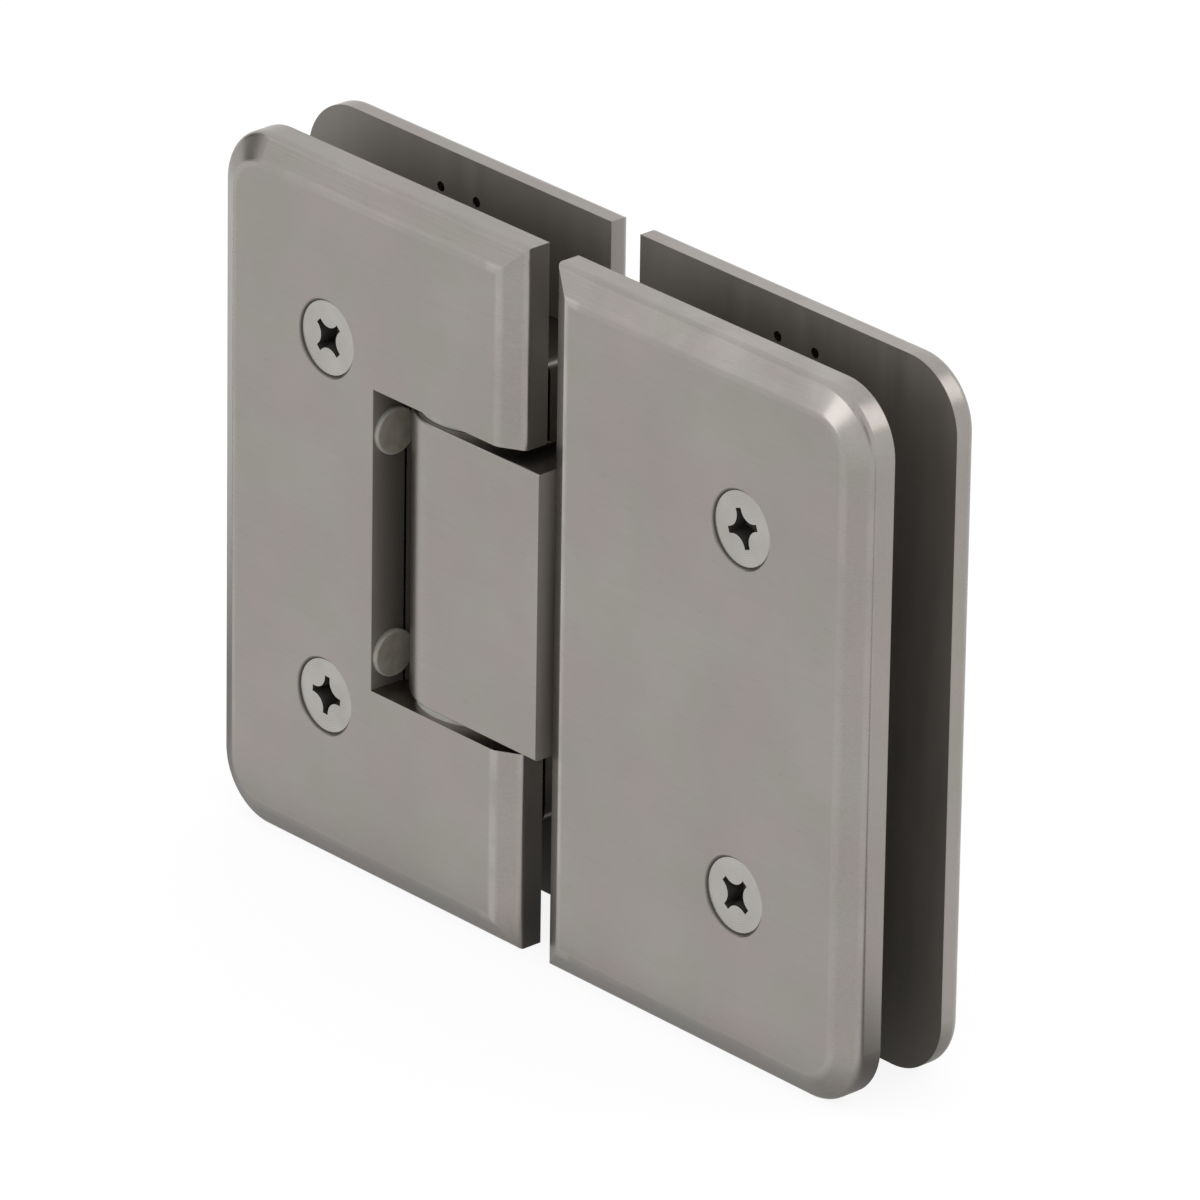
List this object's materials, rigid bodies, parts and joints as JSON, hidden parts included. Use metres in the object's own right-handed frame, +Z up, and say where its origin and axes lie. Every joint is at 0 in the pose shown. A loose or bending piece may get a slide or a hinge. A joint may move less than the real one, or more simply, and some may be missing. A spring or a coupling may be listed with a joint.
{
  "type": "glass to glass shower door hinge",
  "caption": "Bevelled glass-to-glass shower door hinge with two clamping leaves and a pivot block that swings both ways in a pocket.",
  "frame": {"origin": "middle of the hinge's box: in the gap between the leaves, midway between the plates and at half height", "axes": "+X along the hinge from the left leaf to the right leaf, +Y from the front plates to the back plates, +Z up along the pivot axis"},
  "size_m": [0.1124, 0.0196, 0.09],
  "materials": {
    "plate": "satin brushed stainless steel, warm grey",
    "block": "satin brushed stainless steel, warm grey",
    "clamp_screw": "brighter turned stainless steel with a cross recess",
    "pin_steel": "ground steel",
    "spring_wire": "drawn spring wire",
    "nylon": "natural nylon, slightly translucent",
    "bumper": "clear soft silicone"
  },
  "bodies": {
    "left_leaf": {"left_front_plate": "plate", "left_back_plate": "plate", "hinge_body": "block", "pivot_pin": "pin_steel", "upper_pin_screw": "pin_steel", "lower_pin_screw": "pin_steel", "upper_washer": "nylon", "lower_washer": "nylon", "upper_front_bumper": "bumper", "lower_front_bumper": "bumper", "upper_back_bumper": "bumper", "lower_back_bumper": "bumper", "left_upper_clamp_screw": "clamp_screw", "left_lower_clamp_screw": "clamp_screw"},
    "right_leaf": {"right_front_plate": "plate", "right_back_plate": "plate", "pivot_block": "block", "upper_bush": "nylon", "lower_bush": "nylon", "upper_spring": "spring_wire", "lower_spring": "spring_wire", "upper_spring_screw": "pin_steel", "lower_spring_screw": "pin_steel", "right_upper_clamp_screw": "clamp_screw", "right_lower_clamp_screw": "clamp_screw"},
    "upper_plunger": {"upper_plunger": "pin_steel"},
    "lower_plunger": {"lower_plunger": "pin_steel"}
  },
  "joints": [
    {"name": "door_swing", "type": "hinge", "parent": "left_leaf", "child": "right_leaf", "pos_m": [-0.017, 0, 0], "axis": [0, 0, 1], "range_deg": [-90, 90]},
    {"name": "upper_plunger_slide", "type": "slide", "parent": "right_leaf", "child": "upper_plunger", "axis": [-1, 0, 0], "range_m": [0, 0.0005]},
    {"name": "lower_plunger_slide", "type": "slide", "parent": "right_leaf", "child": "lower_plunger", "axis": [-1, 0, 0], "range_m": [0, 0.0005]}
  ]
}
